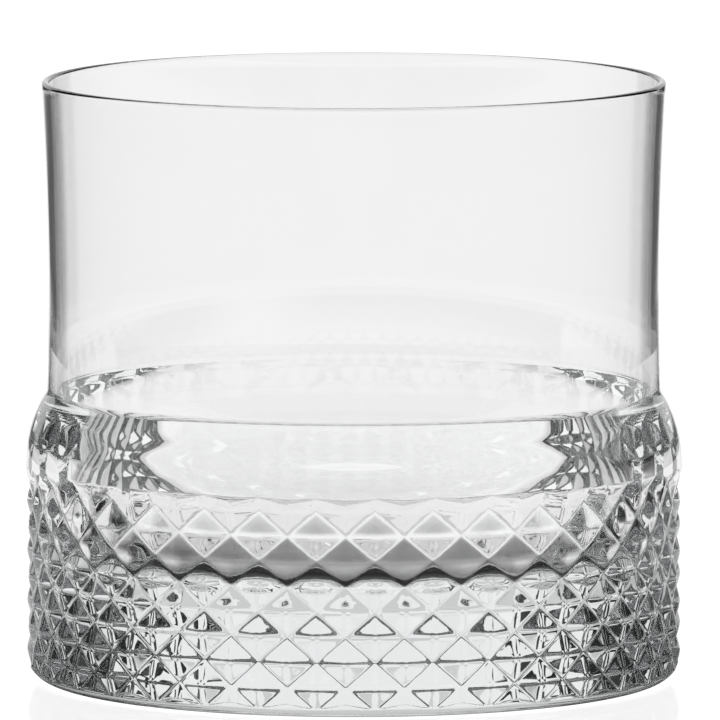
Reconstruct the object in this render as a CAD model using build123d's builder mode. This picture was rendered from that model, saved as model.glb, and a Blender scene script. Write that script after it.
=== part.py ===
from build123d import *
import os
from math import cos, pi, sin

# A whiskey tumbler: a thin plain bowl above a thick band of cut diamonds, all one piece of clear glass.
# Millimetres. The origin is the centre of the foot, where the glass rests, and +Z runs up to the rim.

# Outer shape
HEIGHT = 87.6
BAND_RADIUS = 47.8
HEEL_RADIUS = 4.0
BAND_TOP = 32.0
SHOULDER_RADIUS = 18.0
NECK_RADIUS, NECK_HEIGHT = 44.68, 42.1
NECK_FILLET = 2.0
WAIST_RADIUS, WAIST_HEIGHT = 44.45, 54.0
BELLY_RADIUS, BELLY_HEIGHT = 44.68, 70.0
RIM_RADIUS = 45.4

# Inside
WALL = 1.1
CAVITY_NECK_HEIGHT = 37.0
CAVITY_NECK_FILLET = 16.0
CAVITY_RADIUS = 41.0
CAVITY_CORNER_FILLET = 6.0
FLOOR_HEIGHT = 18.0

# Cut diamonds: grooves cross at the nodes, and each diamond rises to a point between its four nodes
COLUMNS = 35
FIRST_COLUMN = 3.7
GROOVE_TOP = 29.9
HALF_ROW = 3.63
ROWS = 9
NODE_RADIUS = 46.9
POINT_RADIUS = BAND_RADIUS - 0.05
GROOVE_RUN_OUT = 1.35
FLARE = 3.0


def corner_at(sketch, place):
    """The sketch's corner at this place."""
    return sketch.vertices().sort_by_distance(place)[0]


def on_cylinder(radius, column, height):
    """A point on the line of a column of nodes and points, half a column apart, counted from the front."""
    angle = FIRST_COLUMN * pi / 180 + column * pi / COLUMNS
    return (radius * sin(angle), -radius * cos(angle), height)


def diamond_ring(level):
    """The nodes and points of one half row of the band, in turn. Even columns of the top level are nodes."""
    height = GROOVE_TOP - level * HALF_ROW
    return [
        on_cylinder(POINT_RADIUS if (level + column) % 2 else NODE_RADIUS, column, height)
        for column in range(2 * COLUMNS)
    ]


def flared_ring():
    """The top level's grooves carried up and out, clear of the glass, so that each one runs out in the shoulder."""
    depth = POINT_RADIUS - NODE_RADIUS
    radius = NODE_RADIUS + FLARE * depth
    return [
        on_cylinder(radius, column, GROOVE_TOP + GROOVE_RUN_OUT * (FLARE - column % 2))
        for column in range(2 * COLUMNS)
    ]


def level_ring(ring, height):
    """A ring of points moved to one height."""
    return [(x, y, height) for x, y, z in ring]


def flat_face(*corners):
    """A plane face with these corners."""
    return Face(Wire.make_polygon(corners))


def facets(lower, upper, first_is_node):
    """The triangles between two rings. The diagonal of each pair is a groove, from node to node."""
    faces = []
    for i in range(2 * COLUMNS):
        j = (i + 1) % (2 * COLUMNS)
        if (i % 2 == 0) == first_is_node:
            faces += [flat_face(upper[i], upper[j], lower[j]), flat_face(upper[i], lower[j], lower[i])]
        else:
            faces += [flat_face(upper[i], upper[j], lower[i]), flat_face(upper[j], lower[j], lower[i])]
    return faces


def diamond_drum():
    """A drum whose side is the band's facets, open enough above and below them to leave the rest of the glass."""
    rings = [diamond_ring(level) for level in range(ROWS + 1)]
    flare = flared_ring()
    top = level_ring(flare, HEIGHT + WALL)
    faces = [flat_face(*top), flat_face(*rings[-1])]
    faces += [flat_face(top[i - 1], top[i], flare[i], flare[i - 1]) for i in range(2 * COLUMNS)]
    faces += facets(rings[0], flare, False)
    for level in range(ROWS):
        faces += facets(rings[level + 1], rings[level], level % 2 == 0)
    return Solid(Shell(faces))


# Tumbler: the section of the whole glass, turned about its axis, then cut back to the diamonds' facets
with BuildPart() as tumbler:
    with BuildSketch(Plane.XZ) as section:
        with BuildLine() as outline:
            foot = Line((0, 0), (BAND_RADIUS - HEEL_RADIUS, 0))
            heel = RadiusArc(foot @ 1, (BAND_RADIUS, HEEL_RADIUS), -HEEL_RADIUS)
            band = Line(heel @ 1, (BAND_RADIUS, BAND_TOP))
            shoulder = RadiusArc(band @ 1, (NECK_RADIUS, NECK_HEIGHT), -SHOULDER_RADIUS)
            bowl_outside = Spline(
                shoulder @ 1,
                (WAIST_RADIUS, WAIST_HEIGHT),
                (BELLY_RADIUS, BELLY_HEIGHT),
                (RIM_RADIUS, HEIGHT - WALL / 2),
            )
            lip = ThreePointArc(
                bowl_outside @ 1, (RIM_RADIUS - WALL / 2, HEIGHT), (RIM_RADIUS - WALL, HEIGHT - WALL / 2)
            )
            bowl_inside = Spline(
                lip @ 1,
                (BELLY_RADIUS - WALL, BELLY_HEIGHT),
                (WAIST_RADIUS - WALL, WAIST_HEIGHT),
                (NECK_RADIUS - WALL, CAVITY_NECK_HEIGHT),
            )
            cavity_wall = Line(bowl_inside @ 1, (CAVITY_RADIUS, FLOOR_HEIGHT))
            floor = Line(cavity_wall @ 1, (0, FLOOR_HEIGHT))
            axis_line = Line(floor @ 1, foot @ 0)
        make_face()
        fillet(corner_at(section, shoulder @ 1), NECK_FILLET)
        fillet(corner_at(section, cavity_wall @ 0), CAVITY_NECK_FILLET)
        fillet(corner_at(section, cavity_wall @ 1), CAVITY_CORNER_FILLET)
    revolve(axis=Axis.Z)
    add(diamond_drum(), mode=Mode.INTERSECT)
tumbler.part.label = "tumbler"

os.makedirs("parts", exist_ok=True)
export_step(tumbler.part, "parts/tumbler.step")
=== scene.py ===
import math

import bmesh
import bpy
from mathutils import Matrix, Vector


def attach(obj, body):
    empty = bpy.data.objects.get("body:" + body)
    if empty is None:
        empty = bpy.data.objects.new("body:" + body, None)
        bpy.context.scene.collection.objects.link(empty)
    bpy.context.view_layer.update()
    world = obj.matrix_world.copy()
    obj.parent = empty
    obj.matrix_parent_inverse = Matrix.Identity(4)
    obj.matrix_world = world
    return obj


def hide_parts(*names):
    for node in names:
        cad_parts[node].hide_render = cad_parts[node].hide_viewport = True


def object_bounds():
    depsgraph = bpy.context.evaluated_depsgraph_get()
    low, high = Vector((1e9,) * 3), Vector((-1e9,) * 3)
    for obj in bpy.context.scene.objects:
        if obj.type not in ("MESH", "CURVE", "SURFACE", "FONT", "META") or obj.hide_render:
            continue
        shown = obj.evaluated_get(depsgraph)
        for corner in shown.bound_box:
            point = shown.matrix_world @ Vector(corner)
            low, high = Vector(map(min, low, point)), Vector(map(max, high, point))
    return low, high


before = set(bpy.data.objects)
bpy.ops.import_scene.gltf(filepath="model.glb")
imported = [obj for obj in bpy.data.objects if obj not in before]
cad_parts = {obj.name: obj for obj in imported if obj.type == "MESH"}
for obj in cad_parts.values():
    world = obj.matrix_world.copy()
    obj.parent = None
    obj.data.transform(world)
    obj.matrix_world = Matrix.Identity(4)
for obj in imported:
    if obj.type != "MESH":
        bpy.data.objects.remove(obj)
cad_low, cad_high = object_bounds()

# A whiskey tumbler of clear crystal on a white studio table. The glass is drawn in millimetres, and MM turns
# them into metres. Its height and its widest radius are those of the solid part.
MM = 0.001
HEIGHT = cad_high.z / MM
BAND_RADIUS = cad_high.x / MM

# Outer shape, from the heel up to the rim
HEEL_RADIUS = 4.0
BAND_TOP = 32.0
SHOULDER_RADIUS = 18.0
NECK_RADIUS, NECK_HEIGHT = 44.68, 42.1
NECK_FILLET = 2.0
WAIST_RADIUS, WAIST_HEIGHT = 44.45, 54.0
BELLY_RADIUS, BELLY_HEIGHT = 44.68, 70.0
RIM_RADIUS = 45.4

# Inside. The wall's direction above the cavity's neck is taken over NECK_REACH.
WALL = 1.1
CAVITY_NECK_HEIGHT = 37.0
CAVITY_NECK_FILLET = 16.0
NECK_REACH = 4.0
CAVITY_RADIUS = 41.0
CAVITY_CORNER_FILLET = 6.0
FLOOR_HEIGHT = 18.0

# Cut diamonds: grooves cross at the nodes, and each diamond rises to a point between its four nodes.
# FIRST_COLUMN is in degrees. Above the topmost nodes the cut runs out of the glass, by one groove depth in
# each GROOVE_RUN_OUT of height, until it is FLARE depths out.
COLUMNS = 35
FIRST_COLUMN = 3.7
GROOVE_TOP = 29.9
HALF_ROW = 3.63
ROWS = 9
NODE_RADIUS = 46.9
POINT_RADIUS = BAND_RADIUS - 0.05
GROOVE_RUN_OUT = 1.35
FLARE = 3.0
GROOVE_ROUNDING = 0.22
GROOVE_SEGMENTS = 2

# Polish of the diamonds: the higher RIDGE_SHARPNESS is, the sharper their ridges are. POINT_SOFTNESS is the
# share of the groove's depth that is polished off the points.
RIDGE_SHARPNESS = 5
POINT_SOFTNESS = 0.1

# Mesh fineness: faces round the glass, steps across half a cell, the longest steps along arcs and lines, the
# fewest steps, and the parts that a line's step makes on a curve
TURNS = 360
CELL_STEPS = 5
DRUM_SPOTS = 2 * COLUMNS * CELL_STEPS
ARC_STEP = math.radians(6)
ARC_LEAST = 4
LINE_STEP = 2.5
LINE_LEAST = 2
CURVE_PARTS = 2

# Crystal: refraction, faint marks left by the polish, slight waviness, and the colour of the body
REFRACTION = 1.54
HAZE_SCALE, HAZE_DETAIL = 180, 2
HAZE_RANGE = (0.55, 0.8)
HAZE_ROUGHNESS = 0.02
WAVE_SCALE, WAVE_DETAIL = 60, 0
WAVE_STRENGTH = 0.3
WAVE_HEIGHT = 0.0001
TINT = (0.92, 0.935, 0.94, 1)
TINT_DENSITY = 10

# Upright panels of light round the glass, and their light painted on the table as pools, by heading. Each
# one has its heading, its half width and the width of its soft edge, in degrees, and its brightness. A
# heading of 0 is straight behind the glass and 90 is on the right. GAP is the brightness of the dark between
# the panels, and of the painted dark on the table.
PANELS = [(-90, 10, 2, 0.6), (0, 28, 2, 0.95)]
TABLE_PANELS = [(-11, 66, 2, 0.92), (135, 4, 28, 0.75)]
GAP = 0.02

# The rest of the room: a dim ceiling, a flag, which is a dark card, low behind the glass on each side, and a
# low strip of light round the sides and the front. Each pair is where a soft edge starts and ends. It is in
# degrees, from straight behind for the sides of the flags and the strip, and from the level for the others.
CEILING_LIGHT = 0.2
CEILING_EDGE = (50, 70)
FLAG_LIGHT = 0.1
FLAG_START = (9, 14)
FLAG_END = (29, 30)
FLAG_FOOT = (-12, -10)
FLAG_TOP = (-2, 0)
LOW_LIGHT = 0.55
LOW_START = (38, 42)
LOW_FOOT = (-20, -18)
LOW_TOP = (-1, 0)
BACKGROUND = 1.05

# Table: its brightness, and where that changes, in metres from the axis. The camera sees it evenly bright;
# the glass sees it glow with painted light and shade. UNDER_EDGE runs from front to back, where the painted
# dark under the foot turns to painted light.
# TABLE_SHADE is the share of the light that is left near the glass: a painted shadow round it. FAR_LIGHT is
# painted light far from the glass.
TABLE_RADIUS = 0.4
TABLE_SIDES = 96
TABLE_GAP = 0.0001
TABLE_LIGHT = 1.1
TABLE_SHADE = 0.75
SHADE_EDGE = (0.08, 0.12)
FAR_LIGHT = 0.85
FAR_EDGE = (0.12, 0.2)
UNDER_LIGHT = 1.1
UNDER_EDGE = (-0.01, 0.01)
FOOT_EDGE = (0.044, 0.048)
TABLE_SHINE = 0.2
SHINE_EDGE = (0.06, 0.09)
SHINE_ROUGHNESS = 0.1

# Camera: lens and sensor in millimetres, and places in metres
LENS = 756
SENSOR = 36
FARTHEST = 100
CAMERA_PLACE = (0, -2.19, 0.287)
CAMERA_AIM = (0.0009, 0, 0.0466)
BOUNCES = 28


def arc(centre, radius, start, end):
    """Points on an arc, both ends included, at most ARC_STEP apart."""
    steps = max(ARC_LEAST, math.ceil(abs(end - start) / ARC_STEP))
    turns = [start + (end - start) * i / steps for i in range(steps + 1)]
    return [(centre[0] + radius * math.cos(a), centre[1] + radius * math.sin(a)) for a in turns]


def line(start, end):
    """Points strictly between two ends, at most LINE_STEP apart."""
    steps = max(LINE_LEAST, math.ceil(math.dist(start, end) / LINE_STEP))
    return [
        (start[0] + (end[0] - start[0]) * i / steps, start[1] + (end[1] - start[1]) * i / steps)
        for i in range(1, steps)
    ]


def radius_at(guides, height):
    """The radius at a height on the one smooth curve through a few (radius, height) guides."""
    total = 0
    for radius, own in guides:
        for _, other in guides:
            if other != own:
                radius *= (height - other) / (own - other)
        total += radius
    return total


def wall_curve(guides, start, end):
    """Points strictly between two heights on the curve through the guides."""
    steps = math.ceil(abs(end - start) / LINE_STEP) * CURVE_PARTS
    heights = [start + (end - start) * i / steps for i in range(1, steps)]
    return [(radius_at(guides, z), z) for z in heights]


def rounded(before, corner, after, radius):
    """The arc that rounds a corner between two straight sides."""
    corner = Vector(corner)
    towards, onwards = (Vector(before) - corner).normalized(), (Vector(after) - corner).normalized()
    half = towards.angle(onwards) / 2
    start, end = corner + towards * radius / math.tan(half), corner + onwards * radius / math.tan(half)
    centre = corner + (towards + onwards).normalized() * radius / math.sin(half)
    first = math.atan2(start.y - centre.y, start.x - centre.x)
    last = math.atan2(end.y - centre.y, end.x - centre.x)
    last = first + math.remainder(last - first, 2 * math.pi)
    return arc(centre, radius, first, last)


def outside():
    """The outline from the middle of the foot up to the rim."""
    foot = (BAND_RADIUS - HEEL_RADIUS, 0)
    heel = arc((foot[0], HEEL_RADIUS), HEEL_RADIUS, -math.pi / 2, 0)
    shoulder_centre = (BAND_RADIUS - SHOULDER_RADIUS, BAND_TOP)
    guides = [
        (NECK_RADIUS, NECK_HEIGHT),
        (WAIST_RADIUS, WAIST_HEIGHT),
        (BELLY_RADIUS, BELLY_HEIGHT),
        (RIM_RADIUS, HEIGHT - WALL / 2),
    ]
    neck = NECK_RADIUS + NECK_FILLET
    lean = math.acos((neck - shoulder_centre[0]) / (SHOULDER_RADIUS + NECK_FILLET))
    neck_centre = (neck, BAND_TOP + (SHOULDER_RADIUS + NECK_FILLET) * math.sin(lean))
    neck_arc = arc(neck_centre, NECK_FILLET, lean + math.pi, math.pi)
    shoulder = arc(shoulder_centre, SHOULDER_RADIUS, 0, lean)
    bowl = wall_curve(guides, neck_arc[-1][1], guides[-1][1])
    middle = (0, 0)
    band = line(heel[-1], shoulder[0])
    return [middle, *line(middle, foot), *heel, *band, *shoulder, *neck_arc[1:], *bowl]


def lip():
    """The round, fire-polished rim."""
    return arc((RIM_RADIUS - WALL / 2, HEIGHT - WALL / 2), WALL / 2, 0, math.pi)


def inside():
    """The outline from the rim down to the middle of the floor."""
    guides = [
        (NECK_RADIUS - WALL, CAVITY_NECK_HEIGHT),
        (WAIST_RADIUS - WALL, WAIST_HEIGHT),
        (BELLY_RADIUS - WALL, BELLY_HEIGHT),
        (RIM_RADIUS - WALL, HEIGHT - WALL / 2),
    ]
    above_height = CAVITY_NECK_HEIGHT + NECK_REACH
    above = (radius_at(guides, above_height), above_height)
    floor_corner = (CAVITY_RADIUS, FLOOR_HEIGHT)
    middle = (0, FLOOR_HEIGHT)
    neck = rounded(above, guides[0], floor_corner, CAVITY_NECK_FILLET)
    corner = rounded(guides[0], floor_corner, middle, CAVITY_CORNER_FILLET)
    bowl = wall_curve(guides, guides[-1][1], neck[0][1])
    return [*bowl, *neck, *line(neck[-1], corner[0]), *corner, *line(corner[-1], middle), middle]


def new_object(name, maker):
    """An object in the scene from a bmesh, with its faces turned outwards."""
    bmesh.ops.recalc_face_normals(maker, faces=maker.faces)
    mesh = bpy.data.meshes.new(name)
    maker.to_mesh(mesh)
    maker.free()
    made = bpy.data.objects.new(name, mesh)
    bpy.context.scene.collection.objects.link(made)
    return made


def place(radius, angle, height):
    """A point in metres, at an angle counted from the front towards +X."""
    return Vector((radius * math.sin(angle), -radius * math.cos(angle), height)) * MM


def turned_body(name):
    """The whole section turned about the axis."""
    maker = bmesh.new()
    rings = []
    for radius, height in outside() + lip() + inside():
        spots = TURNS if radius else 1
        rings.append([maker.verts.new(place(radius, math.tau * k / spots, height)) for k in range(spots)])
    for below, above in zip(rings, rings[1:]):
        for k in range(TURNS):
            n = (k + 1) % TURNS
            if len(below) == 1:
                maker.faces.new((below[0], above[k], above[n]))
            elif len(above) == 1:
                maker.faces.new((below[k], above[0], below[n]))
            else:
                maker.faces.new((below[k], above[k], above[n], below[n]))
    made = new_object(name, maker)
    made.data.shade_smooth()
    return made


def relief(across, down):
    """How far the cut surface rises at a place counted in half cells, as a share of the groove's depth.

    It is about 0 along the grooves, a little less where they cross, and nearly 1 at a point.
    """
    leaning = abs(math.remainder(across + down - 1, 2))
    crossing = abs(math.remainder(across - down - 1, 2))
    power = RIDGE_SHARPNESS
    return 1 - (leaning**power + crossing**power + POINT_SOFTNESS**power) ** (1 / power)


def drum_ring(maker, radius_of, height_of):
    """One ring of the drum. Its radius and its height may change with the half cells counted round it."""
    ring = []
    for i in range(DRUM_SPOTS):
        across = i / CELL_STEPS
        angle = math.radians(FIRST_COLUMN) + i * (math.pi / COLUMNS / CELL_STEPS)
        ring.append(maker.verts.new(place(radius_of(across), angle, height_of(across))))
    return ring


def flare_height(across):
    """The height of the drum's widest edge, which follows the zigzag of the topmost grooves."""
    return GROOVE_TOP + GROOVE_RUN_OUT * (FLARE - 1 + abs(math.remainder(across - 1, 2)))


def cut_rings(maker):
    """The rings of the cut band, from the topmost nodes down."""
    depth = POINT_RADIUS - NODE_RADIUS
    rings = []
    for level in range(ROWS * CELL_STEPS + 1):
        down = level / CELL_STEPS
        height = GROOVE_TOP - down * HALF_ROW
        rings.append(drum_ring(maker, lambda x: NODE_RADIUS + depth * relief(x, down), lambda x: height))
    return rings


def fill_quads(maker, upper, lower):
    """Four-sided faces between two rings."""
    for i in range(DRUM_SPOTS):
        j = (i + 1) % DRUM_SPOTS
        maker.faces.new((upper[i], lower[i], lower[j], upper[j]))


def fill_cut(maker, rings):
    """Triangles between the rings of the cut band, with their slanting edges along the grooves."""
    for level, (upper, lower) in enumerate(zip(rings, rings[1:])):
        for i in range(DRUM_SPOTS):
            j = (i + 1) % DRUM_SPOTS
            if (i // CELL_STEPS + level // CELL_STEPS) % 2 == 0:
                maker.faces.new((upper[i], lower[j], upper[j]))
                maker.faces.new((upper[i], lower[i], lower[j]))
            else:
                maker.faces.new((upper[i], lower[i], upper[j]))
                maker.faces.new((upper[j], lower[i], lower[j]))


def mark_grooves(maker, rings):
    """Gives the edges along the groove bottoms the weight that their rounding goes by."""
    weights = maker.edges.layers.float.new("bevel_weight_edge")
    for level, (row, below) in enumerate(zip(rings, rings[1:])):
        for i in range(DRUM_SPOTS):
            for side in (-1, 1):
                if (i + side * level) % (2 * CELL_STEPS) == 0:
                    edge = maker.edges.get((row[i], below[(i - side) % DRUM_SPOTS]))
                    edge[weights] = 1


def diamond_drum():
    """A closed drum whose side is the cut diamonds. It flares clear of the glass above the last nodes."""
    maker = bmesh.new()
    spread = NODE_RADIUS + FLARE * (POINT_RADIUS - NODE_RADIUS)
    top = drum_ring(maker, lambda x: spread, lambda x: HEIGHT + WALL)
    flare = drum_ring(maker, lambda x: spread, flare_height)
    cut = cut_rings(maker)
    maker.faces.new(top)
    maker.faces.new(cut[-1])
    fill_quads(maker, top, flare)
    fill_quads(maker, flare, cut[0])
    fill_cut(maker, cut)
    mark_grooves(maker, cut)
    made = new_object("diamond_drum", maker)
    made.data.shade_smooth()
    return made


def round_grooves(target):
    """Rounds the groove bottoms, as the wheel and the polish leave them."""
    bevel = target.modifiers.new("polish", "BEVEL")
    bevel.width = GROOVE_ROUNDING * MM
    bevel.segments = GROOVE_SEGMENTS
    bevel.limit_method = "WEIGHT"


def intersect(body, cutter):
    """Keeps what is inside both, applied to the body's mesh, and removes the cutter."""
    cut = body.modifiers.new("cut", "BOOLEAN")
    cut.operation = "INTERSECT"
    cut.object = cutter
    cut.solver = "EXACT"
    bpy.context.view_layer.update()
    depsgraph = bpy.context.evaluated_depsgraph_get()
    mesh = bpy.data.meshes.new_from_object(body.evaluated_get(depsgraph))
    body.modifiers.clear()
    body.data = mesh
    bpy.data.objects.remove(cutter)


def math_node(tree, operation, *values):
    """One math node. Each value is a number or another node's output."""
    node = tree.nodes.new("ShaderNodeMath")
    node.operation = operation
    for slot, value in zip(node.inputs, values):
        if isinstance(value, (int, float)):
            slot.default_value = value
        else:
            tree.links.new(value, slot)
    return node.outputs[0]


def between(tree, value, start, end):
    """0 up to start, 1 from end on, and smooth between them."""
    step = tree.nodes.new("ShaderNodeMapRange")
    step.interpolation_type = "SMOOTHSTEP"
    step.inputs["From Min"].default_value = start
    step.inputs["From Max"].default_value = end
    tree.links.new(value, step.inputs["Value"])
    return step.outputs["Result"]


def within(tree, value, first_edge, last_edge):
    """1 from the first edge to the last, 0 outside them, and smooth along each edge."""
    return math_node(tree, "SUBTRACT", between(tree, value, *first_edge), between(tree, value, *last_edge))


def mixed(tree, factor, first, second):
    """A colour mix. Each colour is a brightness or another node's output."""
    mix = tree.nodes.new("ShaderNodeMix")
    mix.data_type = "RGBA"
    tree.links.new(factor, mix.inputs["Factor"])
    for slot, colour in (("A", first), ("B", second)):
        if isinstance(colour, (int, float)):
            mix.inputs[slot].default_value = (colour, colour, colour, 1)
        else:
            tree.links.new(colour, mix.inputs[slot])
    return mix.outputs["Result"]


def noise(tree, spot, scale, detail):
    """Soft random patches that are the same each time."""
    node = tree.nodes.new("ShaderNodeTexNoise")
    node.inputs["Scale"].default_value = scale
    node.inputs["Detail"].default_value = detail
    tree.links.new(spot, node.inputs["Vector"])
    return node.outputs["Fac"]


def clear_crystal():
    """Clear lead crystal: faint cool body colour, polished, with the slight waviness of blown glass."""
    material = bpy.data.materials.new("clear_crystal")
    material.use_nodes = True
    tree = material.node_tree
    glass = tree.nodes["Principled BSDF"]
    glass.inputs["Base Color"].default_value = (1, 1, 1, 1)
    glass.inputs["Transmission Weight"].default_value = 1
    glass.inputs["IOR"].default_value = REFRACTION
    spot = tree.nodes.new("ShaderNodeTexCoord").outputs["Object"]
    polish = tree.nodes.new("ShaderNodeMapRange")
    polish.inputs["From Min"].default_value = HAZE_RANGE[0]
    polish.inputs["From Max"].default_value = HAZE_RANGE[1]
    polish.inputs["To Max"].default_value = HAZE_ROUGHNESS
    tree.links.new(noise(tree, spot, HAZE_SCALE, HAZE_DETAIL), polish.inputs["Value"])
    tree.links.new(polish.outputs["Result"], glass.inputs["Roughness"])
    bump = tree.nodes.new("ShaderNodeBump")
    bump.inputs["Strength"].default_value = WAVE_STRENGTH
    bump.inputs["Distance"].default_value = WAVE_HEIGHT
    tree.links.new(noise(tree, spot, WAVE_SCALE, WAVE_DETAIL), bump.inputs["Height"])
    tree.links.new(bump.outputs["Normal"], glass.inputs["Normal"])
    tint = tree.nodes.new("ShaderNodeVolumeAbsorption")
    tint.inputs["Color"].default_value = TINT
    tint.inputs["Density"].default_value = TINT_DENSITY
    tree.links.new(tint.outputs["Volume"], tree.nodes["Material Output"].inputs["Volume"])
    return material


def axes_of(tree, vector):
    """The three coordinates of a direction or a place."""
    split = tree.nodes.new("ShaderNodeSeparateXYZ")
    tree.links.new(vector, split.inputs[0])
    return split.outputs


def heading_of(tree, axes):
    """The heading in radians: 0 is straight behind the glass, and it grows to the right."""
    return math_node(tree, "ARCTAN2", axes["X"], axes["Y"])


def panels(tree, heading, lights):
    """The brightness of the panels in one direction, or of their light at one place on the table."""
    around = math_node(tree, "DIVIDE", math_node(tree, "ADD", heading, math.pi), math.tau)
    ramp = tree.nodes.new("ShaderNodeValToRGB")
    tree.links.new(around, ramp.inputs["Fac"])
    elements = ramp.color_ramp.elements
    elements.remove(elements[1])
    elements[0].color = (GAP, GAP, GAP, 1)
    for middle, reach, softness, light in lights:
        edge = reach + softness
        for angle, level in ((-edge, GAP), (-reach, light), (reach, light), (edge, GAP)):
            stop = elements.new((middle + angle + 180) / 360)
            stop.color = (level, level, level, 1)
    return ramp.outputs["Color"]


def table_light(tree, spot, distance, clear):
    """The table's painted light and shade as the glass sees it: a painted shadow that makes it dimmer near
    the glass, and painted dark to bright under its foot.
    """
    axes = axes_of(tree, spot)
    # Painted light: pools on the table, by heading, as if they came from the panels.
    light = panels(tree, heading_of(tree, axes), TABLE_PANELS)
    # Painted shadow: the light is cut to TABLE_SHADE near the glass and comes back across SHADE_EDGE.
    outside_painted_shadow = between(tree, distance, *SHADE_EDGE)
    shade = math_node(tree, "MULTIPLY_ADD", outside_painted_shadow, 1 - TABLE_SHADE, TABLE_SHADE)
    light = math_node(tree, "MULTIPLY", light, shade)
    # Painted light: far from the glass the table is at least FAR_LIGHT bright.
    far = between(tree, distance, *FAR_EDGE)
    light = mixed(tree, far, light, math_node(tree, "MAXIMUM", light, FAR_LIGHT))
    # Painted light and shade under the foot: dark at the front, bright at the back.
    back = between(tree, axes["Y"], *UNDER_EDGE)
    return mixed(tree, clear, mixed(tree, back, GAP, UNDER_LIGHT), light)


def white_table():
    """White that glows: the camera sees it evenly bright, and the glass sees painted light and shade on it.
    It shines a little near the glass, but not under its foot.
    """
    material = bpy.data.materials.new("white_table")
    material.use_nodes = True
    tree = material.node_tree
    tree.nodes.remove(tree.nodes["Principled BSDF"])
    spot = tree.nodes.new("ShaderNodeTexCoord").outputs["Object"]
    length = tree.nodes.new("ShaderNodeVectorMath")
    length.operation = "LENGTH"
    tree.links.new(spot, length.inputs[0])
    distance = length.outputs["Value"]
    clear = between(tree, distance, *FOOT_EDGE)
    seen = tree.nodes.new("ShaderNodeLightPath").outputs["Is Camera Ray"]
    white = tree.nodes.new("ShaderNodeEmission")
    # The glow: evenly bright for camera rays, painted light and shade for every other ray.
    light = mixed(tree, seen, table_light(tree, spot, distance, clear), TABLE_LIGHT)
    tree.links.new(light, white.inputs["Color"])
    shine = tree.nodes.new("ShaderNodeBsdfGlossy")
    shine.inputs["Roughness"].default_value = SHINE_ROUGHNESS
    near = within(tree, distance, FOOT_EDGE, SHINE_EDGE)
    both = tree.nodes.new("ShaderNodeMixShader")
    tree.links.new(math_node(tree, "MULTIPLY", near, TABLE_SHINE), both.inputs["Fac"])
    tree.links.new(white.outputs[0], both.inputs[1])
    tree.links.new(shine.outputs[0], both.inputs[2])
    tree.links.new(both.outputs[0], tree.nodes["Material Output"].inputs["Surface"])
    return material


def table_top():
    """A round table, just under the foot."""
    maker = bmesh.new()
    bmesh.ops.create_circle(maker, cap_ends=True, segments=TABLE_SIDES, radius=TABLE_RADIUS)
    table = new_object("table", maker)
    table.location.z = -TABLE_GAP
    table.data.materials.append(white_table())
    return table


def studio():
    """The light all round, by direction only. What shows past the glass is plain white."""
    world = bpy.data.worlds.new("studio")
    world.use_nodes = True
    bpy.context.scene.world = world
    tree = world.node_tree
    axes = axes_of(tree, tree.nodes.new("ShaderNodeTexCoord").outputs["Generated"])
    heading = heading_of(tree, axes)
    off_centre = math_node(tree, "DEGREES", math_node(tree, "ABSOLUTE", heading))
    height = math_node(tree, "DEGREES", math_node(tree, "ARCSINE", axes["Z"]))
    light = panels(tree, heading, PANELS)
    flag_sides = within(tree, off_centre, FLAG_START, FLAG_END)
    flag_height = within(tree, height, FLAG_FOOT, FLAG_TOP)
    light = mixed(tree, math_node(tree, "MULTIPLY", flag_sides, flag_height), light, FLAG_LIGHT)
    low_sides = between(tree, off_centre, *LOW_START)
    low_height = within(tree, height, LOW_FOOT, LOW_TOP)
    light = mixed(tree, math_node(tree, "MULTIPLY", low_sides, low_height), light, LOW_LIGHT)
    room = mixed(tree, between(tree, height, *CEILING_EDGE), light, CEILING_LIGHT)
    seen = tree.nodes.new("ShaderNodeLightPath").outputs["Is Camera Ray"]
    tree.links.new(mixed(tree, seen, room, BACKGROUND), tree.nodes["Background"].inputs["Color"])


def camera():
    """A long lens from a little above the rim, framing the glass closely."""
    lens = bpy.data.cameras.new("camera")
    lens.lens = LENS
    lens.sensor_width = SENSOR
    lens.clip_end = FARTHEST
    made = bpy.data.objects.new("camera", lens)
    bpy.context.scene.collection.objects.link(made)
    made.location = CAMERA_PLACE
    made.rotation_euler = (Vector(CAMERA_AIM) - made.location).to_track_quat("-Z", "Y").to_euler()
    bpy.context.scene.camera = made


tumbler = turned_body("tumbler_glass")
drum = diamond_drum()
round_grooves(drum)
intersect(tumbler, drum)
tumbler.data.materials.clear()
tumbler.data.materials.append(clear_crystal())
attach(tumbler, "root")
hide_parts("tumbler")

table_top()
studio()
camera()

bpy.context.scene.view_settings.view_transform = "Standard"
cycles = bpy.context.scene.cycles
cycles.max_bounces = BOUNCES
cycles.transmission_bounces = BOUNCES
cycles.glossy_bounces = BOUNCES
cycles.use_denoising = True
